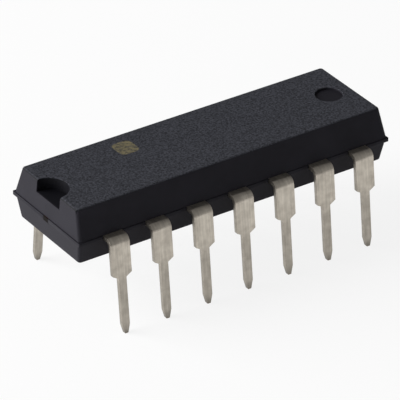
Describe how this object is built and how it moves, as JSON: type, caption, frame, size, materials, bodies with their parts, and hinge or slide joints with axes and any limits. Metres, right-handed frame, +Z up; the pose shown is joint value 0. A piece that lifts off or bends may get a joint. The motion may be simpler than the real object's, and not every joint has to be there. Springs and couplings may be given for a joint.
{
  "type": "dual in-line integrated circuit package",
  "caption": "Plastic dual in-line chip package: black moulded body with end notch and round mark, two rows of splayed tinned leads, die, paddle and bond wires inside.",
  "frame": {"origin": "midway between the two rows of leads, at the height of the lead tips", "axes": "+X along the package away from the notched end, +Y across it away from lead 1's row, +Z up through the top face"},
  "size_m": [0.0194, 0.0088, 0.007],
  "materials": {
    "mould_compound": "black moulded epoxy with a fine matt grain",
    "tinned_lead": "satin tin plate on copper alloy sheet",
    "copper_frame": "stamped copper alloy sheet",
    "silicon": "polished silicon",
    "die_bond": "silver-filled epoxy",
    "gold_wire": "drawn gold"
  },
  "bodies": {
    "root": {"moulded_body": "mould_compound", "die_paddle": "copper_frame", "die_attach": "die_bond", "die": "silicon", "lead_01": "tinned_lead", "lead_02": "tinned_lead", "lead_03": "tinned_lead", "lead_04": "tinned_lead", "lead_05": "tinned_lead", "lead_06": "tinned_lead", "lead_07": "tinned_lead", "lead_08": "tinned_lead", "lead_09": "tinned_lead", "lead_10": "tinned_lead", "lead_11": "tinned_lead", "lead_12": "tinned_lead", "lead_13": "tinned_lead", "lead_14": "tinned_lead", "bond_wire_01": "gold_wire", "bond_wire_02": "gold_wire", "bond_wire_03": "gold_wire", "bond_wire_04": "gold_wire", "bond_wire_05": "gold_wire", "bond_wire_06": "gold_wire", "bond_wire_07": "gold_wire", "bond_wire_08": "gold_wire", "bond_wire_09": "gold_wire", "bond_wire_10": "gold_wire", "bond_wire_11": "gold_wire", "bond_wire_12": "gold_wire", "bond_wire_13": "gold_wire", "bond_wire_14": "gold_wire"}
  },
  "joints": []
}
